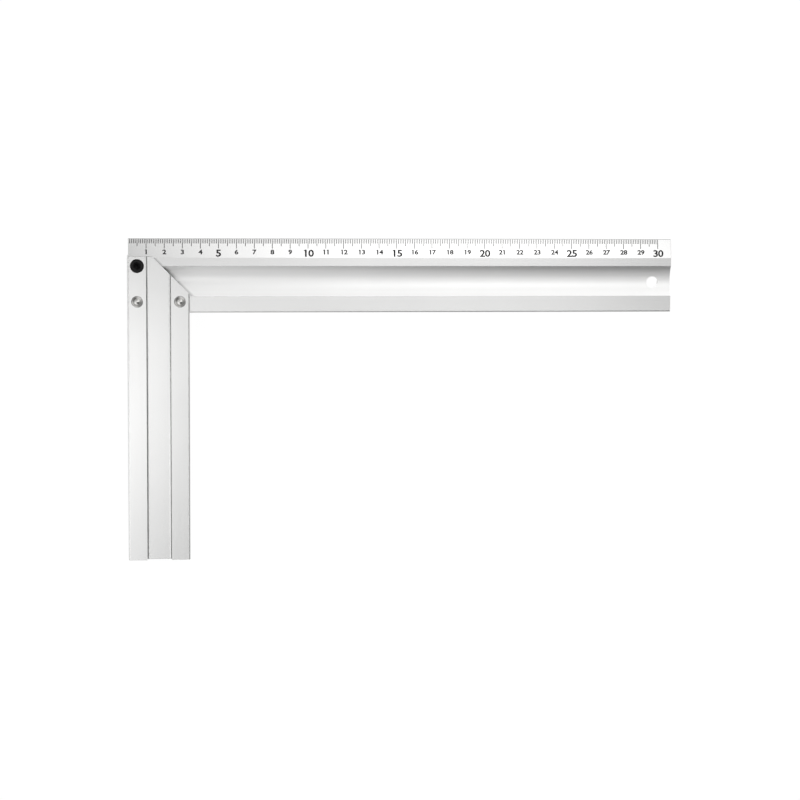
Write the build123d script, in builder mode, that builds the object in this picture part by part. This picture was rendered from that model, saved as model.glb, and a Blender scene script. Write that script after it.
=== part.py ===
from build123d import *
import math
import os

# Carpenter square: an extruded blade with a bevelled rule edge, held in a slot across the end of a
# thicker extruded stock by two rivets, and trued by an eccentric cam. Lengths are in millimetres.
# The square lies on its back. +X runs along the blade, away from the stock, +Y points towards the rule
# edge, and +Z points out of the face with the rule. The origin is the bottom centre of the square's box.

# Blade, the same on both faces. Widths run from the rule edge down.
BLADE_LENGTH = 307.8
BEVEL_WIDTH = 10.55
UPPER_RAIL_WIDTH = 4.55
GROOVE_WIDTH = 16.95
LOWER_RAIL_WIDTH = 9.2
GROOVE_DEPTH = 2.5
WEB_THICKNESS = 2.0
RULE_EDGE_THICKNESS = 3.5
RULE_EDGE_RADIUS = 0.3
LOWER_EDGE_RADIUS = 0.9
BLADE_END_CHAMFER_SHARE = 0.6
HANG_HOLE_DIAMETER = 6.6
HANG_HOLE_TO_END = 10.4
HANG_HOLE_BELOW_GROOVE_MIDDLE = 0.9

# Stock, the same on both faces: two raised rails with a sunk strip between them, and a flat cavity.
STOCK_LENGTH = 170.2
STOCK_WIDTH = 34.4
STOCK_RAIL_WIDTH = 10.4
STOCK_RECESS_DEPTH = 3.5
STOCK_STRIP_WALL = 1.95
STOCK_SIDE_WALL = 2.5
STOCK_EDGE_RADIUS = 1.0
STOCK_END_CHAMFER = 0.25
RECESS_RIM_RADIUS = 1.1
RECESS_FLOOR_RADIUS = 1.1
CAVITY_CORNER_RADIUS = 1.0
MITRE_LEG = 20.9

# How the two extrusions meet
STOCK_LAP_OVER_BEVEL = 0.9
BLADE_END_INSET = 0.6
SLOT_SIDE_CLEARANCE = 0.05
SLOT_FLOOR_CLEARANCE = 0.3

# Rivets, countersunk and turned flush on both faces
FASTENER_INSET = 5.4
RIVET_TO_LOWER_EDGE = 6.6
RIVET_SHANK_DIAMETER = 5.0
RIVET_HEAD_FLARE = 0.7
RIVET_SUNK = 0.05
RIVET_CLEARANCE = 0.02
PIVOT_CLEARANCE = 0.04
TRIM_CLEARANCE = 0.25
COUNTERSINK_ANGLE = 90

# Eccentric cam for truing the square, with its spring and retaining ring behind the stock
CAM_TO_STOCK_END = 5.2
CAM_HEAD_DIAMETER = 7.6
CAM_HEAD_HEIGHT = 3.0
CAM_HEAD_CHAMFER = 0.35
CAM_SUNK = 0.15
CAM_NECK_DIAMETER = 5.6
CAM_JOURNAL_DIAMETER = 5.0
CAM_ECCENTRICITY = 0.12
CAM_TAIL_DIAMETER = 4.0
CAM_CLEARANCE = 0.05
CAM_SLOT_TRAVEL = 1.0
HEX_ACROSS_FLATS = 4.0
HEX_DEPTH = 2.2
HEX_PILOT_SHARE = 0.95
HEX_MOUTH_LIP = 0.1
HEX_MOUTH_ANGLE = 120
DRILL_POINT_ANGLE = 118
TAIL_SUNK = 0.4
TAIL_LIP = 0.4
TAIL_GROOVE_DEPTH = 0.4
RING_WIDTH = 1.75
RING_THICKNESS = 0.6
RING_GAP = 2.4
RING_CLEARANCE = 0.05
SPRING_WIDTH = 1.65
SPRING_THICKNESS = 0.25
SPRING_HEIGHT = 0.5
SPRING_BORE_CLEARANCE = 0.15
SPRING_RIM_CLEARANCE = 0.5
SEAT_CLEARANCE = 0.02

# How far a cut runs past the faces that it opens
CUT_OVERRUN = 1.0

# Layers through the square, from the blade's middle outwards
blade_thickness = WEB_THICKNESS + 2 * GROOVE_DEPTH
slot_height = blade_thickness + 2 * SLOT_SIDE_CLEARANCE
cheek_thickness = STOCK_STRIP_WALL + STOCK_RECESS_DEPTH
stock_thickness = slot_height + 2 * cheek_thickness
mid_level = stock_thickness / 2
blade_back = mid_level - blade_thickness / 2

# Steps across the blade, counted from the rule edge
groove_start = BEVEL_WIDTH + UPPER_RAIL_WIDTH
groove_middle = groove_start + GROOVE_WIDTH / 2
groove_end = groove_start + GROOVE_WIDTH
blade_width = groove_end + LOWER_RAIL_WIDTH
stock_to_rule_edge = BEVEL_WIDTH - STOCK_LAP_OVER_BEVEL

# Places of the main faces
overall_length = BLADE_LENGTH + BLADE_END_INSET
overall_height = STOCK_LENGTH + stock_to_rule_edge
stock_left = -overall_length / 2
stock_right = stock_left + STOCK_WIDTH
stock_middle = stock_left + STOCK_WIDTH / 2
blade_left = stock_left + BLADE_END_INSET
blade_right = blade_left + BLADE_LENGTH
rule_edge = overall_height / 2
lower_edge = rule_edge - blade_width
stock_top = rule_edge - stock_to_rule_edge
stock_bottom = stock_top - STOCK_LENGTH

# Axes of the fasteners and of the hanging hole
pivot_x = stock_left + FASTENER_INSET
clamp_x = stock_right - FASTENER_INSET
rivet_y = lower_edge + RIVET_TO_LOWER_EDGE
cam_y = stock_top - CAM_TO_STOCK_END
journal_y = cam_y + CAM_ECCENTRICITY
hang_hole_x = blade_right - HANG_HOLE_TO_END
hang_hole_y = rule_edge - groove_middle - HANG_HOLE_BELOW_GROOVE_MIDDLE

# Rivets and their holes
countersink_slope = math.tan(math.radians(COUNTERSINK_ANGLE / 2))
rivet_shank_radius = RIVET_SHANK_DIAMETER / 2
rivet_head_radius = rivet_shank_radius + RIVET_HEAD_FLARE
rivet_head_depth = RIVET_HEAD_FLARE / countersink_slope
rivet_hole_radius = rivet_shank_radius + RIVET_CLEARANCE
rivet_sink_radius = rivet_head_radius + RIVET_CLEARANCE + RIVET_SUNK * countersink_slope
cheek_drill_depth = cheek_thickness + CUT_OVERRUN

# Cam and its bores, with levels counted up from the stock's back face
cam_head_top = stock_thickness - CAM_SUNK
cam_head_seat = cam_head_top - CAM_HEAD_HEIGHT
cam_neck_end = stock_thickness - cheek_thickness
cam_seat_depth = CAM_SUNK + CAM_HEAD_HEIGHT + SEAT_CLEARANCE
cam_head_bore = CAM_HEAD_DIAMETER / 2 + CAM_CLEARANCE
cam_neck_bore = CAM_NECK_DIAMETER / 2 + CAM_CLEARANCE
cam_tail_bore = CAM_TAIL_DIAMETER / 2 + CAM_CLEARANCE
cam_slot_width = CAM_JOURNAL_DIAMETER + 2 * CAM_CLEARANCE
cam_slot_length = cam_slot_width + CAM_SLOT_TRAVEL

# Hex socket, drilled first, with a cone at its mouth that clears the corners
hex_flat_radius = HEX_ACROSS_FLATS / 2
hex_pilot_radius = HEX_PILOT_SHARE * hex_flat_radius
hex_mouth_radius = hex_flat_radius / math.cos(math.radians(30)) + HEX_MOUTH_LIP
hex_mouth_depth = (hex_mouth_radius - hex_pilot_radius) / math.tan(math.radians(HEX_MOUTH_ANGLE / 2))
drill_point_depth = hex_pilot_radius / math.tan(math.radians(DRILL_POINT_ANGLE / 2))

# Ring and spring behind the back cheek, stacked up from the end of the cam's tail
tail_groove_radius = CAM_TAIL_DIAMETER / 2 - TAIL_GROOVE_DEPTH
tail_groove_bottom = TAIL_SUNK + TAIL_LIP
ring_bottom = tail_groove_bottom + RING_CLEARANCE
ring_top = ring_bottom + RING_THICKNESS
tail_groove_top = ring_top + RING_CLEARANCE
ring_bore_radius = tail_groove_radius + RING_CLEARANCE
ring_rim_radius = ring_bore_radius + RING_WIDTH
spring_bottom = ring_top + SEAT_CLEARANCE
spring_top = spring_bottom + SPRING_HEIGHT
spring_bore_radius = CAM_TAIL_DIAMETER / 2 + SPRING_BORE_CLEARANCE
spring_rim_radius = spring_bore_radius + SPRING_WIDTH
back_recess_radius = spring_rim_radius + SPRING_RIM_CLEARANCE
back_recess_depth = spring_top + SEAT_CLEARANCE

# Blade: half of the section is drawn from the rule edge down, then mirrored in the middle plane.
rail_face = blade_thickness / 2
groove_floor = WEB_THICKNESS / 2
edge_face = RULE_EDGE_THICKNESS / 2
blade_end_chamfer = BLADE_END_CHAMFER_SHARE * RULE_EDGE_RADIUS
blade_end_plane = Plane(origin=(blade_left, rule_edge, mid_level), x_dir=(0, -1, 0), z_dir=(1, 0, 0))

with BuildPart() as blade:
    with BuildSketch(blade_end_plane) as blade_section:
        with BuildLine():
            Polyline((0, 0), (0, edge_face), (BEVEL_WIDTH, rail_face), (groove_start, rail_face))
            ThreePointArc((groove_start, rail_face), (groove_middle, groove_floor), (groove_end, rail_face))
            Polyline((groove_end, rail_face), (blade_width, rail_face), (blade_width, 0))
            mirror(about=Plane.XZ)
        make_face()
        fillet(blade_section.vertices().group_by(Axis.X)[0], radius=RULE_EDGE_RADIUS)
        fillet(blade_section.vertices().group_by(Axis.X)[-1], radius=LOWER_EDGE_RADIUS)
    extrude(amount=BLADE_LENGTH)
    chamfer(blade.faces().sort_by(Axis.X)[-1].edges(), length=blade_end_chamfer)
    # Holes for hanging, for the two rivets and for the cam's journal
    with BuildSketch(Plane.XY):
        with Locations((hang_hole_x, hang_hole_y)):
            Circle(HANG_HOLE_DIAMETER / 2)
        with Locations((pivot_x, rivet_y)):
            Circle(rivet_shank_radius + PIVOT_CLEARANCE)
        with Locations((clamp_x, rivet_y)):
            Circle(rivet_shank_radius + TRIM_CLEARANCE)
        with Locations((pivot_x, journal_y)):
            SlotOverall(cam_slot_length, cam_slot_width, rotation=90)
    extrude(amount=stock_thickness, mode=Mode.SUBTRACT)

# Stock: the section runs along the stock, then the blade's slot, the mitre and the bores are cut.
recess_width = STOCK_WIDTH - 2 * STOCK_RAIL_WIDTH
half_recess = recess_width / 2
floor_face = mid_level - STOCK_RECESS_DEPTH
cavity_width = STOCK_WIDTH - 2 * STOCK_SIDE_WALL
slot_floor = lower_edge - SLOT_FLOOR_CLEARANCE
cut_top = stock_top + CUT_OVERRUN
cut_left = stock_left - CUT_OVERRUN
cut_right = stock_right + CUT_OVERRUN
mitre_left = stock_right - MITRE_LEG - CUT_OVERRUN
mitre_bottom = stock_top - MITRE_LEG - CUT_OVERRUN
stock_end_plane = Plane(origin=(stock_middle, stock_bottom, mid_level), x_dir=(1, 0, 0), z_dir=(0, 1, 0))

with BuildPart() as stock:
    with BuildSketch(stock_end_plane) as stock_section:
        Rectangle(STOCK_WIDTH, stock_thickness)
        fillet(stock_section.vertices(), radius=STOCK_EDGE_RADIUS)
        with Locations((0, mid_level), (0, -mid_level)):
            Rectangle(recess_width, 2 * STOCK_RECESS_DEPTH, mode=Mode.SUBTRACT)
        recess_corners = stock_section.vertices().filter_by_position(Axis.X, -half_recess, half_recess)
        floor_corners = recess_corners.filter_by_position(Axis.Y, -floor_face, floor_face)
        rim_corners = [corner for corner in recess_corners if corner not in floor_corners]
        fillet(floor_corners, radius=RECESS_FLOOR_RADIUS)
        fillet(rim_corners, radius=RECESS_RIM_RADIUS)
        RectangleRounded(cavity_width, slot_height, CAVITY_CORNER_RADIUS, mode=Mode.SUBTRACT)
    extrude(amount=STOCK_LENGTH)
    for end_face in (stock.faces().sort_by(Axis.Y)[0], stock.faces().sort_by(Axis.Y)[-1]):
        chamfer(end_face.edges(), length=STOCK_END_CHAMFER)
    # Slot across the end, open at both sides
    with BuildSketch(Plane.YZ.offset(cut_left)):
        with Locations((slot_floor, mid_level)):
            Rectangle(cut_top - slot_floor, slot_height, align=(Align.MIN, Align.CENTER))
    extrude(amount=cut_right - cut_left, mode=Mode.SUBTRACT)
    # Both cheeks are cut back at 45 degrees beside the blade
    with BuildSketch(Plane.XY):
        with BuildLine():
            Polyline((mitre_left, cut_top), (cut_right, cut_top), (cut_right, mitre_bottom), close=True)
        make_face()
    extrude(amount=stock_thickness, mode=Mode.SUBTRACT)
    # Rivet holes, countersunk on both faces
    for rivet_x in (pivot_x, clamp_x):
        front_face = Location((rivet_x, rivet_y, stock_thickness))
        back_face = Location((rivet_x, rivet_y, 0), (180, 0, 0))
        with Locations(front_face, back_face):
            CounterSinkHole(rivet_hole_radius, rivet_sink_radius, cheek_drill_depth, COUNTERSINK_ANGLE)
    # Stepped bores for the cam: its head sits in the front cheek, its ring in a recess of the back one
    with Locations((pivot_x, cam_y, stock_thickness)):
        CounterBoreHole(cam_neck_bore, cam_head_bore, cam_seat_depth, cheek_drill_depth)
    with Locations(Location((pivot_x, cam_y, 0), (180, 0, 0))):
        CounterBoreHole(cam_tail_bore, back_recess_radius, back_recess_depth, cheek_drill_depth)


# A plane through an upright axis, for the section of a turned piece: radius across, height up
def turning_plane(axis_x, axis_y):
    return Plane(origin=(axis_x, axis_y, 0), x_dir=(1, 0, 0), z_dir=(0, -1, 0))


# Rivets: a shank with a conical head at each end, turned about its axis
def build_rivet(rivet_x):
    back_end = RIVET_SUNK
    front_end = stock_thickness - RIVET_SUNK
    with BuildPart() as rivet:
        with BuildSketch(turning_plane(rivet_x, rivet_y)):
            with BuildLine():
                Polyline(
                    (0, back_end),
                    (rivet_head_radius, back_end),
                    (rivet_shank_radius, back_end + rivet_head_depth),
                    (rivet_shank_radius, front_end - rivet_head_depth),
                    (rivet_head_radius, front_end),
                    (0, front_end),
                    close=True,
                )
            make_face()
        revolve(axis=Axis((rivet_x, rivet_y, 0), (0, 0, 1)))
    return rivet


pivot_rivet = build_rivet(pivot_x)
clamp_rivet = build_rivet(clamp_x)

# Cam: head with a hex socket, neck, off-centre journal and a tail with a groove for the ring
with BuildPart() as adjuster_cam:
    with BuildSketch(Plane.XY.offset(cam_head_seat)):
        with Locations((pivot_x, cam_y)):
            Circle(CAM_HEAD_DIAMETER / 2)
    extrude(amount=CAM_HEAD_HEIGHT)
    chamfer(adjuster_cam.edges().group_by(Axis.Z)[-1], length=CAM_HEAD_CHAMFER)
    with BuildSketch(Plane.XY.offset(cam_neck_end)):
        with Locations((pivot_x, cam_y)):
            Circle(CAM_NECK_DIAMETER / 2)
    extrude(amount=cam_head_seat - cam_neck_end)
    with BuildSketch(Plane.XY.offset(blade_back)):
        with Locations((pivot_x, journal_y)):
            Circle(CAM_JOURNAL_DIAMETER / 2)
    extrude(amount=cam_neck_end - blade_back)
    with BuildSketch(Plane.XY.offset(TAIL_SUNK)):
        with Locations((pivot_x, cam_y)):
            Circle(CAM_TAIL_DIAMETER / 2)
    extrude(amount=blade_back - TAIL_SUNK)
    with BuildSketch(Plane.XY.offset(tail_groove_bottom)):
        with Locations((pivot_x, cam_y)):
            Circle(CAM_TAIL_DIAMETER / 2)
            Circle(tail_groove_radius, mode=Mode.SUBTRACT)
    extrude(amount=tail_groove_top - tail_groove_bottom, mode=Mode.SUBTRACT)
    with BuildSketch(Plane.XY.offset(cam_head_top)):
        with Locations((pivot_x, cam_y)):
            RegularPolygon(hex_flat_radius, 6, major_radius=False, rotation=30)
    extrude(amount=-HEX_DEPTH, mode=Mode.SUBTRACT)
    hanging_down = (Align.CENTER, Align.CENTER, Align.MAX)
    with Locations((pivot_x, cam_y, cam_head_top)):
        Cone(hex_pilot_radius, hex_mouth_radius, hex_mouth_depth, align=hanging_down, mode=Mode.SUBTRACT)
    with Locations((pivot_x, cam_y, cam_head_top - HEX_DEPTH)):
        Cone(0, hex_pilot_radius, drill_point_depth, align=hanging_down, mode=Mode.SUBTRACT)

# Disc spring: a shallow cone, its wide rim against the stock and its narrow rim against the ring
with BuildPart() as adjuster_disc_spring:
    with BuildSketch(turning_plane(pivot_x, cam_y)):
        with BuildLine():
            Polyline(
                (spring_bore_radius, spring_bottom),
                (spring_rim_radius, spring_top - SPRING_THICKNESS),
                (spring_rim_radius, spring_top),
                (spring_bore_radius, spring_bottom + SPRING_THICKNESS),
                close=True,
            )
        make_face()
    revolve(axis=Axis((pivot_x, cam_y, 0), (0, 0, 1)))

# Retaining ring: split at one side, so that it can be sprung into the tail's groove
with BuildPart() as adjuster_retaining_ring:
    with BuildSketch(Plane.XY.offset(ring_bottom)):
        with Locations((pivot_x, cam_y)):
            Circle(ring_rim_radius)
            Circle(ring_bore_radius, mode=Mode.SUBTRACT)
            Rectangle(2 * ring_rim_radius, RING_GAP, align=(Align.MIN, Align.CENTER), mode=Mode.SUBTRACT)
    extrude(amount=RING_THICKNESS)

pieces = {
    "blade": blade,
    "stock": stock,
    "pivot_rivet": pivot_rivet,
    "clamp_rivet": clamp_rivet,
    "adjuster_cam": adjuster_cam,
    "adjuster_disc_spring": adjuster_disc_spring,
    "adjuster_retaining_ring": adjuster_retaining_ring,
}
os.makedirs("parts", exist_ok=True)
for label, piece in pieces.items():
    piece.part.label = label
    export_step(piece.part, f"parts/{label}.step")
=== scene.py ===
import math
from collections import namedtuple

import bmesh
import bpy
from bpy.props import FloatProperty, FloatVectorProperty, IntProperty, PointerProperty
from mathutils import Euler, Matrix, Vector


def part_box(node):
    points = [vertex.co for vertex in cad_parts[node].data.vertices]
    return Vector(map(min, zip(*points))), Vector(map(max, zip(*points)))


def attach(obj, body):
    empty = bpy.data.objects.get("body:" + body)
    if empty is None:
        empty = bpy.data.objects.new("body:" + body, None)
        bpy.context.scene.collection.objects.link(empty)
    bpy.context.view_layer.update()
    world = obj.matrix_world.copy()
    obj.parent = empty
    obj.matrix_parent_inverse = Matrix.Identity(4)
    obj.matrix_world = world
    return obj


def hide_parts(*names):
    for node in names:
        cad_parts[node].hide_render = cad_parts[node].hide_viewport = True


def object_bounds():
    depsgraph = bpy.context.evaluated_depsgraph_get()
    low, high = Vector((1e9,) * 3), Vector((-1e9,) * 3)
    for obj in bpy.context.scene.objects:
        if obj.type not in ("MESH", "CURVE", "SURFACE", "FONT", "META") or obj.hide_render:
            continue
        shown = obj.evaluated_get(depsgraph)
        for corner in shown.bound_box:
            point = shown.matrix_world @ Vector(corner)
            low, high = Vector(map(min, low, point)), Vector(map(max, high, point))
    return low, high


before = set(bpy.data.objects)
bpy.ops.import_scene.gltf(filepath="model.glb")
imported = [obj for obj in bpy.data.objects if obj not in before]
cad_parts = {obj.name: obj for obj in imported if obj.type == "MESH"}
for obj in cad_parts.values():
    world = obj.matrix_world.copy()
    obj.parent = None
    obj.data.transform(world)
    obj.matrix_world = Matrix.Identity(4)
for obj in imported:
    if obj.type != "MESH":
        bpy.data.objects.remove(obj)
CAD_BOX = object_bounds()

bl_info = {
    "name": "Carpenter Square Finish",
    "version": (1, 0, 0),
    "blender": (4, 5, 0),
    "location": "View3D > Sidebar > Square",
    "description": "Finishes a carpenter square: drawn aluminium, a printed rule, turned rivets, a studio",
    "category": "Object",
}

# Lengths are in metres. +X runs along the blade, +Y points to the rule edge and +Z out of the ruled face.
ALONG_BLADE = Vector((1, 0, 0))
ALONG_STOCK = Vector((0, 1, 0))
ACROSS_MITRE = Vector((1, 1, 0)).normalized()
UPWARDS = Vector((0, 0, 1))
BLADE_LOW, BLADE_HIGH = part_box("blade")

# The flag of a digit 1, in shares of the digit's height, and the steps along each curve of a digit
FLAG_REACH = 0.12
FLAG_RISE = 0.1
FLAG_STROKE = 0.13
DIGIT_STEPS = 3

# Divisions from one long or middle mark to the next, and centimetres from one bold numeral to the next
LONG_EVERY = 10
MIDDLE_EVERY = 5
BOLD_EVERY = 5

# Edges sharper than this angle stay crisp, and points closer together than this distance become one.
CRISP_ANGLE = math.radians(35)
MERGE_DISTANCE = 0.000001

# How round the floor and the dome are, the gap between the floor and the square, and the floor's finish
FLOOR_SEGMENTS = 128
DOME_SUBDIVISIONS = 5
FLOOR_GAP = 0.00005
FLOOR_COLOUR = (0.1, 0.1, 0.1, 1.0)
FLOOR_ROUGHNESS = 0.9
WHITE = (1.0, 1.0, 1.0, 1.0)

# A soft light or shade on the studio's dome: where its middle is, how far from there it has faded to about
# a third, and what it adds in its middle. Azimuth runs round from +X towards +Y, zenith is counted from
# straight overhead, and all three angles are in degrees.
SoftLight = namedtuple("SoftLight", "name azimuth zenith spread glow")
SOFT_LIGHTS = (
    SoftLight("window", 227, 44, 45, 1.32),
    SoftLight("back_panel", 80, 44, 21, 0.74),
    SoftLight("mitre_panel", 54, 87, 59, 1.0),
    SoftLight("front_strip", 319, 18, 7, 1.6),
    SoftLight("stock_strip", 206, 18, 11, 1.85),
    SoftLight("middle_strip", 204, 9, 7, 2.15),
    SoftLight("top_strip", 63, 2, 7, 1.75),
    SoftLight("bevel_strip", 52, 16, 12, 2.55),
    SoftLight("back_strip", 106, 20, 8, 1.55),
    SoftLight("rear_fill", 142, 30, 7, 0.35),
    SoftLight("left_strip", 187, 71, 6, 2.5),
    SoftLight("window_blind", 230, 34, 12, -1.05),
    SoftLight("overhead_shade", 144, 10, 15, -2.6),
    SoftLight("front_shade", 289, 63, 13, -1.2),
    SoftLight("top_shade", 147, 2, 47, -0.54),
)

# A cloudy pattern: how many of its spots come to a metre, and how many finer layers it has
Clouds = namedtuple("Clouds", "scale detail")
FINE_LINES = Clouds(2600.0, 3.0)
BROAD_LINES = Clouds(1300.0, 2.0)
ALUMINIUM_CLOUDS = Clouds(38.0, 4.0)
RIVET_BLOTCHES = Clouds(900.0, 4.0)
CAM_MOTTLE = Clouds(1400.0, 5.0)
GRINDING_LINES = Clouds(5200.0, 3.0)
SPRING_STAINS = Clouds(700.0, 5.0)
INK_COVER = Clouds(2200.0, 4.0)
# The middle of a cloudy pattern's values, and the limits between which most of them lie
CLOUD_MIDDLE = 0.5
CLOUD_LOW = 0.3
CLOUD_HIGH = 0.7
# The share of its fineness that a pattern keeps along its lines
FINE_LINE_SHARE = 0.006
BROAD_LINE_SHARE = 0.0015
GRINDING_LINE_SHARE = 0.2

# A pattern of rings round a point or an axis: how fine it is, how far it strays, and how finely it does so
Rings = namedtuple("Rings", "direction scale distortion detail detail_scale")
SAW_RINGS = Rings("SPHERICAL", 520.0, 3.0, 3.0, 1.5)
RIVET_RINGS = Rings("Z", 4200.0, 1.2, 2.0, 1.0)
CAM_RINGS = Rings("Z", 1700.0, 1.5, 2.0, 1.0)

# Steel and ink: the tones and the roughness between which each varies, the depth of its finest marks and,
# where it isn't bare metal, its gloss
RIVET_TONES = (0.85, 1.08)
RIVET_ROUGHNESS = (0.08, 0.16)
RIVET_MARK_DEPTH = 0.0000025
CAM_ROUGHNESS = (0.38, 0.54)
CAM_MARK_DEPTH = 0.000003
CAM_GLOSS = 0.25
SPRING_TONES = (0.75, 1.1)
SPRING_ROUGHNESS = (0.25, 0.4)
SPRING_MARK_DEPTH = 0.000002
INK_TONES = (0.7, 1.6)
INK_ROUGHNESS = (0.42, 0.58)
INK_GLOSS = 0.2
# The cam's blackening starts to wear off at the first share of the head's radius and is most worn from the
# second. It wears where the mottle lies above the first limit, most above the second, and by this share.
WEAR_START = 0.88
WEAR_END = 0.97
WEAR_LOW = 0.5
WEAR_HIGH = 0.75
WEAR_MOST = 0.6

# One extrusion: the way it was drawn, the way across it in which its painted shade changes, where that
# starts and ends, its strips of another finish, the directions in which it was sawn, the middle of the saw,
# and how far out along the mitre's normal lies the seam where another piece meets it, beside which it is
# painted with a shadow, if one does.
Extrusion = namedtuple("Extrusion", "name colour along across start end tones strips cuts saw_middle seam")
# One strip: its limits across the extrusion, and its finish.
Strip = namedtuple("Strip", "low high finish")
# One finish: its roughness, its tone, which makes the groove lighter as painted light, how strong its die
# lines are, the painted shade on its upright sides, and how much of the painted shadow along the mitre's
# seam it takes.
Finish = namedtuple("Finish", "roughness tone grain side_tone grime")
# The upward part of a face's normal below which the face counts as upright and takes the full painted side
# shade, and above which as lying and unshaded
UPRIGHT_LIMIT = 0.55
LYING_LIMIT = 0.88
# The part of a face's normal along a cut below which the face counts as drawn, and above which as sawn
DRAWN_LIMIT = 0.93
SAWN_LIMIT = 0.97
# Painted glint: the ridges between the saw's marks are painted this much lighter
RIDGE_GLINT = 1.08


class ExtrusionSettings(bpy.types.PropertyGroup):
    """Finish of the two aluminium extrusions"""

    blade_colour: FloatVectorProperty(
        name="Blade colour",
        description="Reflection colour of the blade's aluminium",
        default=(0.79, 0.79, 0.785),
        subtype="COLOR",
    )
    stock_colour: FloatVectorProperty(
        name="Stock colour",
        description="Reflection colour of the stock's aluminium",
        default=(0.81, 0.81, 0.805),
        subtype="COLOR",
    )
    # Painted shade across the blade: it is painted lighter at its lower edge than at its rule edge.
    blade_tones: FloatVectorProperty(
        name="Blade tones",
        description="Tone of the blade at its lower edge and at its rule edge",
        default=(1.02, 0.96),
        size=2,
    )
    # Painted shade across the stock: it is painted lighter at its outer side than at its inner side.
    stock_tones: FloatVectorProperty(
        name="Stock tones",
        description="Tone of the stock at its outer and at its inner side",
        default=(1.03, 0.96),
        size=2,
    )
    # Painted light: the groove is painted lighter than the rest of the blade by this tone, as if more light
    # fell into it.
    groove_tone: FloatProperty(
        name="Groove tone",
        description="Tone of the groove, which hands and boards don't touch and which stays bright",
        default=1.22,
    )
    # Painted shade: upright sides are painted darker than the faces by this tone.
    side_tone: FloatProperty(
        name="Side tone",
        description="Tone of the upright sides, which are left dull while the faces are brushed",
        default=0.75,
        subtype="FACTOR",
    )
    # Painted shade: the upright sides of the recess and of the rule edge are painted darker still by this
    # tone.
    corner_tone: FloatProperty(
        name="Corner tone",
        description="Tone of the upright sides of the recess and of the rule edge, where grime gathers",
        default=0.25,
        subtype="FACTOR",
    )
    # Painted shadow: the blade is painted darker along the mitre, where the stock stands on it, down to this
    # tone.
    seam_tone: FloatProperty(
        name="Seam tone",
        description="Tone of the grime that gathers on the blade along the mitre",
        default=0.64,
        subtype="FACTOR",
    )
    # Width of the painted shadow along the mitre.
    seam_width: FloatProperty(
        name="Seam width",
        description="How far the grime along the mitre spreads",
        default=0.0014,
        unit="LENGTH",
        precision=5,
    )
    # Places the painted shadow along the mitre.
    mitre_start: FloatProperty(
        name="Mitre start",
        description="Distance from the stock's outer side to the upper end of the mitre",
        default=0.0135,
        unit="LENGTH",
        precision=5,
    )
    # The rails also bound the recess strip, whose upright sides get the painted corner shade.
    stock_rail_width: FloatProperty(
        name="Stock rail width",
        description="Width of the stock's two rails",
        default=0.0104,
        unit="LENGTH",
        precision=5,
    )
    stock_rail_rounding: FloatProperty(
        name="Stock rail rounding",
        description="Radius of the rails' edges beside the recess",
        default=0.0011,
        unit="LENGTH",
        precision=5,
    )
    bevel_width: FloatProperty(
        name="Bevel width",
        description="Width of the smooth bevel at the rule edge",
        default=0.01055,
        unit="LENGTH",
        precision=5,
    )
    upper_rail_width: FloatProperty(
        name="Upper rail width",
        description="Width of the rail between the bevel and the groove",
        default=0.00455,
        unit="LENGTH",
        precision=5,
    )
    groove_width: FloatProperty(
        name="Groove width",
        description="Width of the blade's groove",
        default=0.01695,
        unit="LENGTH",
        precision=5,
    )
    roughness: FloatProperty(
        name="Roughness",
        description="Blur of reflections on the drawn faces",
        default=0.25,
        subtype="FACTOR",
    )
    bevel_roughness: FloatProperty(
        name="Bevel roughness",
        description="Blur of reflections on the bevel",
        default=0.20,
        subtype="FACTOR",
    )
    groove_roughness: FloatProperty(
        name="Groove roughness",
        description="Blur of reflections in the groove",
        default=0.40,
        subtype="FACTOR",
    )
    sawn_roughness: FloatProperty(
        name="Sawn roughness",
        description="Blur of reflections on the sawn ends",
        default=0.8,
        subtype="FACTOR",
    )
    grain_spread: FloatProperty(
        name="Grain spread",
        description="How much the roughness differs from one die line to the next",
        default=0.12,
        subtype="FACTOR",
    )
    grain_contrast: FloatProperty(
        name="Grain contrast",
        description="How much the tone differs from one die line to the next",
        default=0.1,
        subtype="FACTOR",
    )
    smooth_grain: FloatProperty(
        name="Smooth grain",
        description="How strong the die lines are on the bevel and in the groove, next to the other faces",
        default=0.4,
        subtype="FACTOR",
    )
    cloud_contrast: FloatProperty(
        name="Cloud contrast",
        description="How much the tone differs from place to place",
        default=0.06,
        subtype="FACTOR",
    )
    grain_depth: FloatProperty(
        name="Grain depth",
        description="Depth of the fine die lines left by the extrusion",
        default=0.000002,
        unit="LENGTH",
        precision=7,
    )
    saw_depth: FloatProperty(
        name="Saw mark depth",
        description="Depth of the marks that the saw left on the cut ends",
        default=0.000012,
        unit="LENGTH",
        precision=7,
    )
    saw_reach: FloatProperty(
        name="Saw radius",
        description="Radius of the saw whose marks the cut ends carry",
        default=0.15,
        unit="LENGTH",
    )


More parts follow.
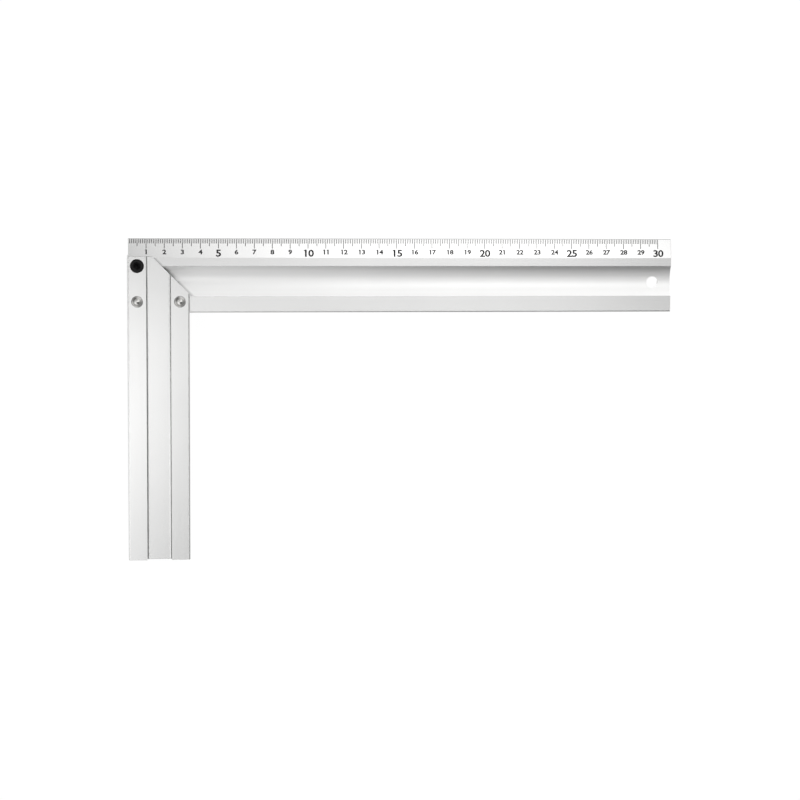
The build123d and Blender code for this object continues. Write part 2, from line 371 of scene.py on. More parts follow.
class RuleSettings(bpy.types.PropertyGroup):
    """Marks and numerals printed on the bevel"""

    last_mark: IntProperty(
        name="Last mark",
        description="Millimetre at which the rule ends",
        default=300,
    )
    division: FloatProperty(
        name="Division",
        description="Distance from one mark to the next",
        default=0.001,
        unit="LENGTH",
    )
    edge_gap: FloatProperty(
        name="Gap to the edge",
        description="Bare strip between the rule edge and the marks, where the edge is rounded",
        default=0.00025,
        unit="LENGTH",
        precision=5,
    )
    short_mark: FloatProperty(
        name="Short mark",
        description="Distance from the rule edge to the end of a millimetre mark",
        default=0.0027,
        unit="LENGTH",
        precision=5,
    )
    middle_mark: FloatProperty(
        name="Middle mark",
        description="Distance from the rule edge to the end of a five millimetre mark",
        default=0.0042,
        unit="LENGTH",
        precision=5,
    )
    long_mark: FloatProperty(
        name="Long mark",
        description="Distance from the rule edge to the end of a centimetre mark",
        default=0.0055,
        unit="LENGTH",
        precision=5,
    )
    mark_width: FloatProperty(
        name="Mark width",
        description="Stroke of the marks",
        default=0.00036,
        unit="LENGTH",
        precision=5,
    )
    numeral_top: FloatProperty(
        name="Numeral top",
        description="Distance from the rule edge to the top of the numerals",
        default=0.0061,
        unit="LENGTH",
        precision=5,
    )
    small_numeral: FloatProperty(
        name="Small numeral",
        description="Height of the plain numerals",
        default=0.0027,
        unit="LENGTH",
        precision=5,
    )
    large_numeral: FloatProperty(
        name="Large numeral",
        description="Height of the bold numerals at every fifth centimetre",
        default=0.004,
        unit="LENGTH",
        precision=5,
    )
    digit_stretch: FloatProperty(
        name="Digit stretch",
        description="How much wider the digits are than the plain font draws them",
        default=1.2,
    )
    digit_pitch: FloatProperty(
        name="Digit pitch",
        description="Distance between the two digits of a numeral, as a share of their height",
        default=0.74,
        subtype="FACTOR",
    )
    small_weight: FloatProperty(
        name="Small weight",
        description="How much the plain numerals' strokes are thickened, as a share of the font's size",
        default=0.034,
        subtype="FACTOR",
    )
    large_weight: FloatProperty(
        name="Large weight",
        description="How much the bold numerals' strokes are thickened, as a share of the font's size",
        default=0.026,
        subtype="FACTOR",
    )
    pair_shift: FloatProperty(
        name="Pair shift",
        description="How far a numeral of two digits is printed past its mark",
        default=0.0002,
        unit="LENGTH",
        precision=5,
    )
    ink_thickness: FloatProperty(
        name="Ink thickness",
        description="How far the ink stands out of the metal",
        default=0.00002,
        unit="LENGTH",
        precision=6,
    )
    ink_colour: FloatVectorProperty(
        name="Ink colour",
        description="Colour of the print",
        default=(0.018, 0.018, 0.019),
        subtype="COLOR",
    )


class RivetSettings(bpy.types.PropertyGroup):
    """Turned faces of the two rivets"""

    colour: FloatVectorProperty(
        name="Rivet colour",
        description="Reflection colour of the rivets' steel",
        default=(0.6, 0.595, 0.58),
        subtype="COLOR",
    )
    rings: IntProperty(
        name="Tool rings",
        description="Rings that the turning tool left on each face, each sloping outwards",
        default=2,
    )
    ring_depth: FloatProperty(
        name="Ring depth",
        description="Depth of the tool rings",
        default=0.0005,
        unit="LENGTH",
        precision=6,
    )
    ring_land: FloatProperty(
        name="Ring land",
        description="Flat share of each ring's width",
        default=0.1,
        subtype="FACTOR",
    )
    cup_radius: FloatProperty(
        name="Cup radius",
        description="Radius of the conical cup in the middle of each face",
        default=0.0013,
        unit="LENGTH",
        precision=5,
    )
    cup_depth: FloatProperty(
        name="Cup depth",
        description="Depth of the cup in the middle of each face",
        default=0.0006,
        unit="LENGTH",
        precision=5,
    )
    flare: FloatProperty(
        name="Flare",
        description="Depth and width of the cone under each face, as a share of the head's radius",
        default=0.22,
        subtype="FACTOR",
    )
    segments: IntProperty(
        name="Segments",
        description="Steps round each rivet",
        default=96,
    )


class AdjusterSettings(bpy.types.PropertyGroup):
    """Finish of the cam, its spring and its retaining ring"""

    cam_colour: FloatVectorProperty(
        name="Cam colour",
        description="Colour of the blackened steel",
        default=(0.006, 0.006, 0.0065),
        subtype="COLOR",
    )
    worn_colour: FloatVectorProperty(
        name="Worn colour",
        description="Colour of the steel where the blackening is rubbed",
        default=(0.07, 0.07, 0.07),
        subtype="COLOR",
    )
    spring_colour: FloatVectorProperty(
        name="Spring colour",
        description="Reflection colour of the spring steel",
        default=(0.42, 0.41, 0.40),
        subtype="COLOR",
    )


class StageSettings(bpy.types.PropertyGroup):
    """Floor, light and camera"""

    floor_radius: FloatProperty(
        name="Floor radius",
        description="Radius of the floor",
        default=12.0,
        unit="LENGTH",
    )
    floor_glow: FloatProperty(
        name="Floor glow",
        description="Light that the floor gives by itself, so that hardly a shadow shows on it",
        default=0.95,
    )
    surround: FloatProperty(
        name="Surround",
        description="Brightness of the room outside the dome",
        default=1.0,
    )
    dome_radius: FloatProperty(
        name="Dome radius",
        description="Radius of the dome that lights the square",
        default=1.4,
        unit="LENGTH",
    )
    dome_glow: FloatProperty(
        name="Dome glow",
        description="Brightness of the dome away from its lights and shades",
        default=0.12,
    )
    lens: FloatProperty(
        name="Lens",
        description="Focal length of the camera in millimetres, on a frame 36 mm wide",
        default=101.7385,
    )
    camera_place: FloatVectorProperty(
        name="Camera place",
        description="Where the camera stands",
        default=(-0.16117, 0.150165, 1.27359),
        subtype="TRANSLATION",
        unit="LENGTH",
        precision=5,
    )
    camera_turn: FloatVectorProperty(
        name="Camera turn",
        description="Turns of the camera away from looking straight down, taken in the order Z, Y, X",
        default=tuple(math.radians(angle) for angle in (-6.8375, -7.1779, -0.4143)),
        subtype="EULER",
        unit="ROTATION",
    )


# Helpers for meshes

def finish_piece(name, shape, material):
    """Turns a bmesh into an object of the scene with smooth faces and crisp edges."""
    mesh = bpy.data.meshes.new(name)
    shape.to_mesh(mesh)
    shape.free()
    mesh.shade_smooth()
    mesh.set_sharp_from_angle(angle=CRISP_ANGLE)
    mesh.materials.append(material)
    piece = bpy.data.objects.new(name, mesh)
    bpy.context.scene.collection.objects.link(piece)
    return piece


def dress_node(node, material):
    """Gives a node of the frame another material."""
    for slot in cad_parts[node].material_slots:
        slot.material = material


# Helpers for materials

def new_material(name):
    """Makes an empty material and returns it with its node tree."""
    material = bpy.data.materials.new(name)
    material.use_nodes = True
    material.node_tree.nodes.clear()
    return material, material.node_tree


def add_node(tree, kind, inputs=None, **attributes):
    """Adds one node. An input given as a socket is linked, any other value is set."""
    node = tree.nodes.new(kind)
    for name, value in attributes.items():
        setattr(node, name, value)
    for name, value in (inputs or {}).items():
        if isinstance(value, bpy.types.NodeSocket):
            tree.links.new(value, node.inputs[name])
        else:
            node.inputs[name].default_value = value
    return node


def add_math(tree, operation, first, second=0.0, third=0.0):
    """Adds a math node and returns its result."""
    return add_node(tree, "ShaderNodeMath", {0: first, 1: second, 2: third}, operation=operation).outputs[0]


def add_range(tree, value, low, high, to_low, to_high):
    """Stretches a value from one range to another and returns it, kept inside the new range."""
    inputs = {"Value": value, "From Min": low, "From Max": high, "To Min": to_low, "To Max": to_high}
    return add_node(tree, "ShaderNodeMapRange", inputs).outputs["Result"]


def add_clouds(tree, point, clouds):
    """Adds a cloudy pattern and returns its value."""
    inputs = {"Vector": point, "Scale": clouds.scale, "Detail": clouds.detail}
    return add_node(tree, "ShaderNodeTexNoise", inputs).outputs["Fac"]


def add_rings(tree, point, rings):
    """Adds a pattern of rings and returns its value, from 0 to 1."""
    inputs = {
        "Vector": point,
        "Scale": rings.scale,
        "Distortion": rings.distortion,
        "Detail": rings.detail,
        "Detail Scale": rings.detail_scale,
    }
    node = add_node(tree, "ShaderNodeTexWave", inputs, wave_type="RINGS", rings_direction=rings.direction)
    return node.outputs["Fac"]


def add_mapping(tree, point, centre=(0, 0, 0), scale=(1, 1, 1)):
    """Centres a pattern on a place of the piece and stretches it."""
    shift = [-middle * stretch for middle, stretch in zip(centre, scale)]
    inputs = {"Vector": point, "Location": shift, "Scale": scale}
    return add_node(tree, "ShaderNodeMapping", inputs).outputs["Vector"]


def add_dot(tree, point, direction):
    """Returns how far a point lies along a direction."""
    node = add_node(tree, "ShaderNodeVectorMath", {0: point, 1: direction}, operation="DOT_PRODUCT")
    return node.outputs["Value"]


def add_blend(tree, factor, first, second):
    """Mixes two values and returns the result."""
    return add_node(tree, "ShaderNodeMix", {0: factor, 2: first, 3: second}, data_type="FLOAT").outputs[0]


def add_colour_mix(tree, factor, first, second):
    """Mixes two colours and returns the result."""
    node = add_node(tree, "ShaderNodeMix", {0: factor, 6: first, 7: second}, data_type="RGBA")
    return node.outputs[2]


def add_tone(tree, colour, tone):
    """Makes a colour darker or lighter by a value and returns it."""
    node = add_node(tree, "ShaderNodeVectorMath", {0: colour, "Scale": tone}, operation="SCALE")
    return node.outputs["Vector"]


def shade(colour, share):
    """A colour made darker or lighter, with its alpha."""
    return (*(share * part for part in colour), 1.0)


def add_uneven_colour(tree, clouds, colour, tones):
    """Varies a colour between two tones by a cloudy pattern and returns it."""
    dark_tone, light_tone = tones
    return add_colour_mix(tree, clouds, shade(colour, dark_tone), shade(colour, light_tone))


def add_uneven_value(tree, clouds, limits):
    """Varies a value between two limits by a cloudy pattern and returns it."""
    return add_range(tree, clouds, CLOUD_LOW, CLOUD_HIGH, *limits)


def add_relief(tree, height, depth):
    """Adds a fine relief and returns its normal."""
    return add_node(tree, "ShaderNodeBump", {"Distance": depth, "Height": height}).outputs["Normal"]


def add_surface(tree, inputs):
    """Ends a material with a surface that has these inputs."""
    shader = add_node(tree, "ShaderNodeBsdfPrincipled", inputs)
    add_node(tree, "ShaderNodeOutputMaterial", {"Surface": shader.outputs["BSDF"]})


# Materials

def die_lines(tree, point, along):
    """Uneven lines drawn along an extrusion by its die, from about -0.5 to 0.5."""
    across = Vector((1, 1, 1)) - along
    fine_place = add_mapping(tree, point, scale=across + FINE_LINE_SHARE * along)
    broad_place = add_mapping(tree, point, scale=across + BROAD_LINE_SHARE * along)
    fine_lines = add_clouds(tree, fine_place, FINE_LINES)
    broad_lines = add_clouds(tree, broad_place, BROAD_LINES)
    both_lines = add_math(tree, "ADD", fine_lines, broad_lines)
    return add_math(tree, "MULTIPLY_ADD", both_lines, 1 / 2, -CLOUD_MIDDLE)


def sawn_faces(tree, normal, cuts):
    """One on faces that look along a cut, zero elsewhere."""
    on_cut = 0.0
    for direction in cuts:
        facing = add_math(tree, "ABSOLUTE", add_dot(tree, normal, direction))
        on_cut = add_math(tree, "MAXIMUM", facing, on_cut)
    return add_range(tree, on_cut, DRAWN_LIMIT, SAWN_LIMIT, 0.0, 1.0)


def drawn_finish(settings):
    """The finish of a drawn face outside all strips."""
    return Finish(roughness=settings.roughness, tone=1.0, grain=1.0, side_tone=settings.side_tone, grime=0.0)


def blend_strips(tree, sideways, finish, strips):
    """Changes a finish to that of the strip in which a point lies, and returns it."""
    for strip in strips:
        middle, reach = (strip.low + strip.high) / 2, (strip.high - strip.low) / 2
        inside = add_math(tree, "COMPARE", sideways, middle, reach)
        pairs = zip(finish, strip.finish)
        finish = Finish(*(add_blend(tree, inside, outer, inner) for outer, inner in pairs))
    return finish


def upright_tone(tree, normal, side_tone):
    """Painted shade: the side shade's tone on upright faces, and one on lying faces."""
    facing_up = add_math(tree, "ABSOLUTE", add_dot(tree, normal, UPWARDS))
    return add_range(tree, facing_up, UPRIGHT_LIMIT, LYING_LIMIT, side_tone, 1.0)


def grime_tone(tree, point, seam, grime, settings):
    """The tone of the painted shadow on a face beside the seam along the mitre."""
    past_seam = add_math(tree, "SUBTRACT", add_dot(tree, point, ACROSS_MITRE), seam)
    to_seam = add_math(tree, "ABSOLUTE", past_seam)
    tone = add_range(tree, to_seam, 0.0, settings.seam_width, settings.seam_tone, 1.0)
    return add_blend(tree, grime, 1.0, tone)


def extruded_aluminium(extrusion, settings):
    """Satin aluminium: die lines along the extrusion, a cloudy tone, saw marks with a painted glint on the
    cut ends, painted shade across it and on its upright sides, a painted shadow along the mitre, and a
    groove painted lighter.
    """
    material, tree = new_material(extrusion.name)
    place = add_node(tree, "ShaderNodeTexCoord")
    point, normal = place.outputs["Object"], place.outputs["Normal"]
    sideways = add_dot(tree, point, extrusion.across)
    finish = blend_strips(tree, sideways, drawn_finish(settings), extrusion.strips)
    lines = add_math(tree, "MULTIPLY", die_lines(tree, point, extrusion.along), finish.grain)
    clouds = add_math(tree, "ADD", add_clouds(tree, point, ALUMINIUM_CLOUDS), -CLOUD_MIDDLE)
    saw_marks = add_rings(tree, add_mapping(tree, point, centre=extrusion.saw_middle), SAW_RINGS)
    on_cut = sawn_faces(tree, normal, extrusion.cuts)

    # Painted shade across the extrusion, from the first of its tones to the second.
    tone = add_range(tree, sideways, extrusion.start, extrusion.end, *extrusion.tones)
    tone = add_math(tree, "MULTIPLY_ADD", lines, settings.grain_contrast, tone)
    tone = add_math(tree, "MULTIPLY_ADD", clouds, settings.cloud_contrast, tone)
    # Painted light: the finish's tone makes the groove lighter.
    tone = add_math(tree, "MULTIPLY", tone, finish.tone)
    # Painted shade: upright faces are painted darker by the finish's side shade.
    tone = add_math(tree, "MULTIPLY", tone, upright_tone(tree, normal, finish.side_tone))
    # Painted shadow: the blade is painted darker beside the seam along the mitre.
    if extrusion.seam is not None:
        seam_tone = grime_tone(tree, point, extrusion.seam, finish.grime, settings)
        tone = add_math(tree, "MULTIPLY", tone, seam_tone)
    # Painted glint: the ridges between the saw's marks are painted lighter.
    sawn_glint_tone = add_range(tree, saw_marks, 0.0, 1.0, 1.0, RIDGE_GLINT)
    drawn_roughness = add_math(tree, "MULTIPLY_ADD", lines, settings.grain_spread, finish.roughness)
    drawn_height = add_math(tree, "MULTIPLY", lines, settings.grain_depth)
    sawn_height = add_math(tree, "MULTIPLY", saw_marks, settings.saw_depth)
    height = add_blend(tree, on_cut, drawn_height, sawn_height)
    add_surface(
        tree,
        {
            "Base Color": add_tone(tree, extrusion.colour, add_blend(tree, on_cut, tone, sawn_glint_tone)),
            "Metallic": 1.0,
            "Roughness": add_blend(tree, on_cut, drawn_roughness, settings.sawn_roughness),
            # The height is in metres already.
            "Normal": add_relief(tree, height, depth=1.0),
        },
    )
    return material


def turned_steel(name, colour, axis_point):
    """Bright steel with fine rings round one axis, as a turning tool leaves it."""
    material, tree = new_material(name)
    point = add_node(tree, "ShaderNodeTexCoord").outputs["Object"]
    centred = add_mapping(tree, point, centre=axis_point)
    rings = add_rings(tree, centred, RIVET_RINGS)
    blotches = add_clouds(tree, centred, RIVET_BLOTCHES)
    add_surface(
        tree,
        {
            "Base Color": add_uneven_colour(tree, blotches, colour, RIVET_TONES),
            "Metallic": 1.0,
            "Roughness": add_uneven_value(tree, blotches, RIVET_ROUGHNESS),
            "Normal": add_relief(tree, rings, RIVET_MARK_DEPTH),
        },
    )
    return material


def blackened_steel(name, settings, axis_point, rim_radius):
    """Black oxide on turned steel, rubbed a little on the rim of the head."""
    material, tree = new_material(name)
    point = add_node(tree, "ShaderNodeTexCoord").outputs["Object"]
    centred = add_mapping(tree, point, centre=axis_point)
    flat_point = add_node(tree, "ShaderNodeVectorMath", {0: centred, 1: (1, 1, 0)}, operation="MULTIPLY")
    radius = add_node(tree, "ShaderNodeVectorMath", {0: flat_point.outputs["Vector"]}, operation="LENGTH")
    rings = add_rings(tree, centred, CAM_RINGS)
    mottle = add_clouds(tree, centred, CAM_MOTTLE)
    wear_start, wear_end = WEAR_START * rim_radius, WEAR_END * rim_radius
    near_rim = add_range(tree, radius.outputs["Value"], wear_start, wear_end, 0.0, 1.0)
    worn = add_math(tree, "MULTIPLY", near_rim, add_range(tree, mottle, WEAR_LOW, WEAR_HIGH, 0.0, WEAR_MOST))
    black_colour, worn_colour = shade(settings.cam_colour, 1.0), shade(settings.worn_colour, 1.0)
    add_surface(
        tree,
        {
            "Base Color": add_colour_mix(tree, worn, black_colour, worn_colour),
            "Roughness": add_uneven_value(tree, mottle, CAM_ROUGHNESS),
            "Specular IOR Level": CAM_GLOSS,
            "Normal": add_relief(tree, rings, CAM_MARK_DEPTH),
        },
    )
    return material


def spring_steel(name, colour, axis_point):
    """Grey spring steel, ground along Y and slightly stained."""
    material, tree = new_material(name)
    point = add_node(tree, "ShaderNodeTexCoord").outputs["Object"]
    centred = add_mapping(tree, point, centre=axis_point)
    stretched = add_mapping(tree, centred, scale=(1.0, GRINDING_LINE_SHARE, 1.0))
    lines = add_clouds(tree, stretched, GRINDING_LINES)
    stains = add_clouds(tree, centred, SPRING_STAINS)
    add_surface(
        tree,
        {
            "Base Color": add_uneven_colour(tree, stains, colour, SPRING_TONES),
            "Metallic": 1.0,
            "Roughness": add_uneven_value(tree, lines, SPRING_ROUGHNESS),
            "Normal": add_relief(tree, lines, SPRING_MARK_DEPTH),
        },
    )
    return material


def rule_ink(name, colour):
    """Black printing ink, semi-gloss and slightly uneven in cover."""
    material, tree = new_material(name)
    point = add_node(tree, "ShaderNodeTexCoord").outputs["Object"]
    cover = add_clouds(tree, point, INK_COVER)
    add_surface(
        tree,
        {
            "Base Color": add_uneven_colour(tree, cover, colour, INK_TONES),
            "Roughness": add_uneven_value(tree, cover, INK_ROUGHNESS),
            "Specular IOR Level": INK_GLOSS,
        },
    )
    return material


def dome_light(name, settings):
    """A white dome whose glow is the sum of its soft lights and shades."""
    material, tree = new_material(name)
    point = add_node(tree, "ShaderNodeTexCoord").outputs["Object"]
    direction = add_node(tree, "ShaderNodeVectorMath", {0: point}, operation="NORMALIZE").outputs["Vector"]
    glow = settings.dome_glow
    for light in SOFT_LIGHTS:
        middle = UPWARDS.copy()
        middle.rotate(Euler((0, math.radians(light.zenith), math.radians(light.azimuth))))
        sharpness = 2 / math.radians(light.spread) ** 2
        fall = add_math(tree, "MULTIPLY_ADD", add_dot(tree, direction, middle), sharpness, -sharpness)
        share = add_node(tree, "ShaderNodeMath", {0: fall}, operation="EXPONENT", label=light.name)
        glow = add_math(tree, "MULTIPLY_ADD", share.outputs[0], light.glow, glow)
    strength = add_math(tree, "MAXIMUM", glow, 0.0)
    shader = add_node(tree, "ShaderNodeEmission", {"Strength": strength})
    add_node(tree, "ShaderNodeOutputMaterial", {"Surface": shader.outputs["Emission"]})
    material.cycles.emission_sampling = "NONE"
    return material


def pale_floor(name, glow):
    """A floor that is white mostly by its own glow, so that hardly a shadow shows on it."""
    material, tree = new_material(name)
    add_surface(
        tree,
        {
            "Base Color": FLOOR_COLOUR,
            "Roughness": FLOOR_ROUGHNESS,
            "Specular IOR Level": 0.0,
            "Emission Color": WHITE,
            "Emission Strength": glow,
        },
    )
    material.cycles.emission_sampling = "NONE"
    return material


# Printed rule

def printing_bed(distance_to_edge):
    """The frame of the bevel's front face: X along the rule, Y up to the rule edge, Z out of the metal."""
    start = Vector((0, BLADE_HIGH.y - distance_to_edge, CAD_BOX[1].z))
    found, place, normal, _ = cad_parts["blade"].ray_cast(start, -UPWARDS)
    if not found:
        raise RuntimeError("No bevel lies under the rule")
    uphill = normal.cross(ALONG_BLADE)
    edge_place = place + uphill * distance_to_edge / uphill.y
    bed = Matrix((ALONG_BLADE, uphill, normal)).transposed().to_4x4()
    bed.translation = Vector((BLADE_LOW.x, edge_place.y, edge_place.z))
    return bed


def mark_end(reading, rule):
    """How far a mark reaches from the rule edge."""
    if reading % LONG_EVERY == 0:
        return rule.long_mark
    if reading % MIDDLE_EVERY == 0:
        return rule.middle_mark
    return rule.short_mark


def add_mark(shape, bed, reading, rule):
    """Adds one mark as a thin block of ink."""
    end = mark_end(reading, rule)
    middle = Vector((reading * rule.division, -(rule.edge_gap + end) / 2, 0))
    size = (rule.mark_width, end - rule.edge_gap, 2 * rule.ink_thickness, 1)
    bmesh.ops.create_cube(shape, size=1.0, matrix=bed @ Matrix.Translation(middle) @ Matrix.Diagonal(size))


def make_digit(digit, weight):
    """Makes one digit as a flat mesh of height 1, with its top at 0 and centred across."""
    letters = bpy.data.curves.new("digit", "FONT")
    letters.body = digit
    letters.offset = weight
    letters.resolution_u = DIGIT_STEPS
    holder = bpy.data.objects.new("digit", letters)
    bpy.context.scene.collection.objects.link(holder)
    bpy.context.view_layer.update()
    mesh = bpy.data.meshes.new_from_object(holder.evaluated_get(bpy.context.evaluated_depsgraph_get()))
    bpy.data.objects.remove(holder)
    bpy.data.curves.remove(letters)
    xs = [vertex.co.x for vertex in mesh.vertices]
    ys = [vertex.co.y for vertex in mesh.vertices]
    to_top = Matrix.Translation((-(min(xs) + max(xs)) / 2, -max(ys), 0))
    mesh.transform(Matrix.Scale(1 / (max(ys) - min(ys)), 4) @ to_top)
    if digit == "1":
        add_flag(mesh)
    return mesh


def add_flag(mesh):
    """Adds the short slanting stroke to the top of a digit 1, on its left."""
    left = min(vertex.co.x for vertex in mesh.vertices)
    sideways, upwards = Vector((FLAG_REACH, FLAG_RISE, 0)), Vector((0, FLAG_STROKE, 0))
    slant = Matrix((sideways, upwards, UPWARDS)).transposed().to_4x4()
    slant.translation = Vector((left, 0, 0)) - (sideways + upwards) / 2
    shape = bmesh.new()
    shape.from_mesh(mesh)
    bmesh.ops.create_grid(shape, x_segments=1, y_segments=1, size=0.5, matrix=slant)
    shape.to_mesh(mesh)
    shape.free()


class SQUARE_OT_finish_extrusions(bpy.types.Operator):
    """Give the blade and the stock their drawn and sawn aluminium"""

    bl_idname = "square.finish_extrusions"
    bl_label = "Finish extrusions"

    def execute(self, context):
        settings = context.scene.square_extrusions
        dress_node("blade", extruded_aluminium(self.blade(settings), settings))
        dress_node("stock", extruded_aluminium(self.stock(settings), settings))
        return {"FINISHED"}

    def blade(self, settings):
        """The blade, with its bevel, its upper rail and its groove as strips."""
        rule_edge = BLADE_HIGH.y
        bevel_foot = rule_edge - settings.bevel_width
        groove_top = bevel_foot - settings.upper_rail_width
        groove_middle = groove_top - settings.groove_width / 2
        groove_foot = groove_top - settings.groove_width
        drawn = drawn_finish(settings)
        # The bevel's upright side at the rule edge gets the painted corner shade.
        bevel = drawn._replace(
            roughness=settings.bevel_roughness, grain=settings.smooth_grain, side_tone=settings.corner_tone
        )
        # The upper rail takes the painted shadow along the mitre.
        upper_rail = drawn._replace(grime=1.0)
        # The groove's two halves are painted lighter by the groove brightening.
        upper_groove = Finish(
            roughness=settings.groove_roughness,
            tone=settings.groove_tone,
            grain=settings.smooth_grain,
            side_tone=1.0,
            grime=0.0,
        )
        # The groove's lower half takes the painted shadow along the mitre as well.
        lower_groove = upper_groove._replace(grime=1.0)
        stock_low, stock_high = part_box("stock")
        mitre_top = Vector((stock_low.x + settings.mitre_start, stock_high.y, 0))
        return Extrusion(
            name="blade_aluminium",
            colour=settings.blade_colour,
            along=ALONG_BLADE,
            across=ALONG_STOCK,
            start=BLADE_LOW.y,
            end=rule_edge,
            tones=settings.blade_tones,
            strips=(
                # The bevel's strip reaches past the rule edge, so that the edge's upright side lies in it
                # and takes the painted corner shade.
                Strip(low=bevel_foot, high=rule_edge + settings.bevel_width, finish=bevel),
                Strip(low=groove_top, high=bevel_foot, finish=upper_rail),
                Strip(low=groove_middle, high=groove_top, finish=upper_groove),
                Strip(low=groove_foot, high=groove_middle, finish=lower_groove),
            ),
            cuts=(ALONG_BLADE,),
            saw_middle=Vector((BLADE_HIGH.x, BLADE_LOW.y - settings.saw_reach, BLADE_LOW.z)),
            # Where the painted shadow along the mitre lies.
            seam=mitre_top.dot(ACROSS_MITRE),
        )

    def stock(self, settings):
        """The stock, sawn square at both ends and mitred at one."""
        low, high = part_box("stock")
        rail = settings.stock_rail_width - settings.stock_rail_rounding
        # The recess's upright sides get the painted corner shade.
        recess = drawn_finish(settings)._replace(side_tone=settings.corner_tone)
        return Extrusion(
            name="stock_aluminium",
            colour=settings.stock_colour,
            along=ALONG_STOCK,
            across=ALONG_BLADE,
            start=low.x,
            end=high.x,
            tones=settings.stock_tones,
            strips=(Strip(low=low.x + rail, high=high.x - rail, finish=recess),),
            cuts=(ALONG_STOCK, ACROSS_MITRE),
            saw_middle=Vector((high.x + settings.saw_reach, low.y, low.z)),
            seam=None,
        )


class SQUARE_OT_print_rule(bpy.types.Operator):
    """Print the marks and numerals on the bevel"""

    bl_idname = "square.print_rule"
    bl_label = "Print rule"

    def execute(self, context):
        rule = context.scene.square_rule
        bed = printing_bed(rule.long_mark)
        ink = rule_ink("rule_ink", rule.ink_colour)
        marks = bmesh.new()
        for reading in range(1, rule.last_mark + 1):
            add_mark(marks, bed, reading, rule)
        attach(finish_piece("rule_marks", marks, ink), "blade")

        numerals = bmesh.new()
        for centimetre in range(1, rule.last_mark // LONG_EVERY + 1):
            self.add_numeral(numerals, bed, centimetre, rule)
        bmesh.ops.remove_doubles(numerals, verts=numerals.verts, dist=MERGE_DISTANCE)
        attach(finish_piece("rule_numerals", numerals, ink), "blade")
        return {"FINISHED"}

    def add_numeral(self, shape, bed, centimetre, rule):
        """Adds the numeral of one centimetre, digit by digit."""
        bold = centimetre % BOLD_EVERY == 0
        height = rule.large_numeral if bold else rule.small_numeral
        weight = rule.large_weight if bold else rule.small_weight
        digits = str(centimetre)
        reading = centimetre * LONG_EVERY * rule.division + (len(digits) - 1) * rule.pair_shift
        for order, digit in enumerate(digits):
            across = (order - (len(digits) - 1) / 2) * rule.digit_pitch * height
            place = Vector((reading + across, -rule.numeral_top, rule.ink_thickness))
            size = Matrix.Diagonal((height * rule.digit_stretch, height, height, 1))
            mesh = make_digit(digit, weight)
            mesh.transform(bed @ Matrix.Translation(place) @ size)
            shape.from_mesh(mesh)
            bpy.data.meshes.remove(mesh)


class SQUARE_OT_turn_rivets(bpy.types.Operator):
    """Turn both rivets, with tool rings and a cup in each face"""

    bl_idname = "square.turn_rivets"
    bl_label = "Turn rivets"

    def execute(self, context):
        settings = context.scene.square_rivets
        for node in ("pivot_rivet", "clamp_rivet"):
            low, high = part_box(node)
            axis_point = (low + high) / 2
            material = turned_steel(f"{node}_steel", settings.colour, axis_point)
            piece = finish_piece(f"turned_{node}", self.turn(settings, low, high), material)
            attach(piece, "stock")
            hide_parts(node)
        return {"FINISHED"}

    def turn(self, settings, low, high):
        """Spins the section of a rivet: a shank with a conical head at each end, ringed and cupped."""
        middle = (low + high) / 2
        head_radius = (high.x - low.x) / 2
        half_length = (high.z - low.z) / 2
        flare = settings.flare * head_radius
        half_section = [(head_radius - flare, half_length - flare)]
        ring_foot = half_length - settings.ring_depth
        ring_width = (head_radius - settings.cup_radius) / settings.rings
        for ring in range(settings.rings):
            outer_radius = head_radius - ring * ring_width
            land = settings.ring_land * ring_width
            half_section += [
                (outer_radius, ring_foot),
                (outer_radius - ring_width + land, half_length),
                (outer_radius - ring_width, half_length),
            ]
        half_section.append((0, half_length - settings.cup_depth))
        section = [(radius, -level) for radius, level in reversed(half_section)] + half_section
        shape = bmesh.new()
        points = [shape.verts.new(middle + Vector((radius, 0, level))) for radius, level in section]
        edges = [shape.edges.new(pair) for pair in zip(points, points[1:])]
        bmesh.ops.spin(
            shape,
            geom=points + edges,
            cent=middle,
            axis=UPWARDS,
            angle=math.tau,
            steps=settings.segments,
            use_merge=True,
        )
        bmesh.ops.remove_doubles(shape, verts=shape.verts, dist=MERGE_DISTANCE)
        bmesh.ops.recalc_face_normals(shape, faces=shape.faces)
        return shape


class SQUARE_OT_finish_adjuster(bpy.types.Operator):
    """Give the cam its blackened steel, and its spring and ring their spring steel"""

    bl_idname = "square.finish_adjuster"
    bl_label = "Finish adjuster"

    def execute(self, context):
        settings = context.scene.square_adjuster
        low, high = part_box("adjuster_cam")
        axis_point = (low + high) / 2
        rim_radius = (high.x - low.x) / 2
        dress_node("adjuster_cam", blackened_steel("black_steel", settings, axis_point, rim_radius))
        steel = spring_steel("spring_steel", settings.spring_colour, axis_point)
        dress_node("adjuster_disc_spring", steel)
        dress_node("adjuster_retaining_ring", steel)
        return {"FINISHED"}


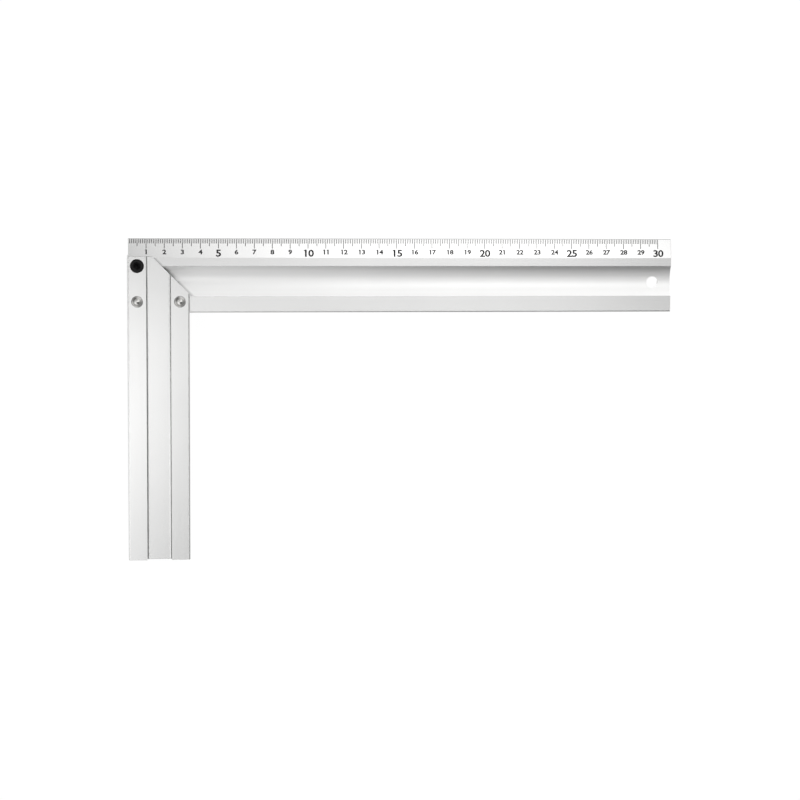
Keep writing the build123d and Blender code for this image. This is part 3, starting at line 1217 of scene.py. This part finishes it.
class SQUARE_OT_set_stage(bpy.types.Operator):
    """Set up the floor, the light dome and the camera"""

    bl_idname = "square.set_stage"
    bl_label = "Set stage"

    def execute(self, context):
        settings = context.scene.square_stage
        self.lay_floor(settings)
        self.raise_dome(settings)
        self.light_surround(context.scene, settings)
        self.place_camera(context.scene, settings)
        context.scene.view_settings.view_transform = "Standard"
        return {"FINISHED"}

    def lay_floor(self, settings):
        """Lays a pale floor just under the square."""
        shape = bmesh.new()
        bmesh.ops.create_circle(
            shape,
            cap_ends=True,
            segments=FLOOR_SEGMENTS,
            radius=settings.floor_radius,
            matrix=Matrix.Translation((0, 0, CAD_BOX[0].z - FLOOR_GAP)),
        )
        finish_piece("floor", shape, pale_floor("floor_paper", settings.floor_glow))

    def raise_dome(self, settings):
        """Raises the dome, which lights the square but isn't seen itself."""
        shape = bmesh.new()
        bmesh.ops.create_icosphere(shape, subdivisions=DOME_SUBDIVISIONS, radius=settings.dome_radius)
        bmesh.ops.bisect_plane(
            shape,
            geom=shape.verts[:] + shape.edges[:] + shape.faces[:],
            plane_co=CAD_BOX[0],
            plane_no=UPWARDS,
            clear_inner=True,
        )
        dome = finish_piece("light_dome", shape, dome_light("dome_light", settings))
        dome.visible_camera = False

    def light_surround(self, scene, settings):
        """Lights the room evenly."""
        world = bpy.data.worlds.new("studio")
        world.use_nodes = True
        background = world.node_tree.nodes["Background"]
        background.inputs["Color"].default_value = WHITE
        background.inputs["Strength"].default_value = settings.surround
        scene.world = world

    def place_camera(self, scene, settings):
        """Puts the camera above the square, at the photograph's viewing angle."""
        camera = bpy.data.cameras.new("camera")
        camera.lens = settings.lens
        holder = bpy.data.objects.new("camera", camera)
        holder.location = settings.camera_place
        holder.rotation_mode = "ZYX"
        holder.rotation_euler = Euler(settings.camera_turn, "ZYX")
        scene.collection.objects.link(holder)
        scene.camera = holder


class SQUARE_PT_finish(bpy.types.Panel):
    """Lists the steps of the finish with their settings"""

    bl_idname = "SQUARE_PT_finish"
    bl_label = "Carpenter Square"
    bl_space_type = "VIEW_3D"
    bl_region_type = "UI"
    bl_category = "Square"

    def draw(self, context):
        for operator, group in STEPS:
            column = self.layout.box().column()
            column.operator(operator)
            settings = getattr(context.scene, group)
            for name in settings.__annotations__:
                column.prop(settings, name)


STEPS = (
    ("square.finish_extrusions", "square_extrusions"),
    ("square.print_rule", "square_rule"),
    ("square.turn_rivets", "square_rivets"),
    ("square.finish_adjuster", "square_adjuster"),
    ("square.set_stage", "square_stage"),
)
SETTINGS = {
    "square_extrusions": ExtrusionSettings,
    "square_rule": RuleSettings,
    "square_rivets": RivetSettings,
    "square_adjuster": AdjusterSettings,
    "square_stage": StageSettings,
}
CLASSES = (
    *SETTINGS.values(),
    SQUARE_OT_finish_extrusions,
    SQUARE_OT_print_rule,
    SQUARE_OT_turn_rivets,
    SQUARE_OT_finish_adjuster,
    SQUARE_OT_set_stage,
    SQUARE_PT_finish,
)


def register():
    """Adds the classes and the scene's settings."""
    for entry in CLASSES:
        bpy.utils.register_class(entry)
    for name, group in SETTINGS.items():
        setattr(bpy.types.Scene, name, PointerProperty(type=group))


def unregister():
    """Takes the scene's settings and the classes away again."""
    for name in SETTINGS:
        delattr(bpy.types.Scene, name)
    for entry in reversed(CLASSES):
        bpy.utils.unregister_class(entry)


def main():
    """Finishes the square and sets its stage."""
    register()
    bpy.ops.square.finish_extrusions()
    bpy.ops.square.print_rule()
    bpy.ops.square.turn_rivets()
    bpy.ops.square.finish_adjuster()
    bpy.ops.square.set_stage()


if __name__ == "__main__":
    main()
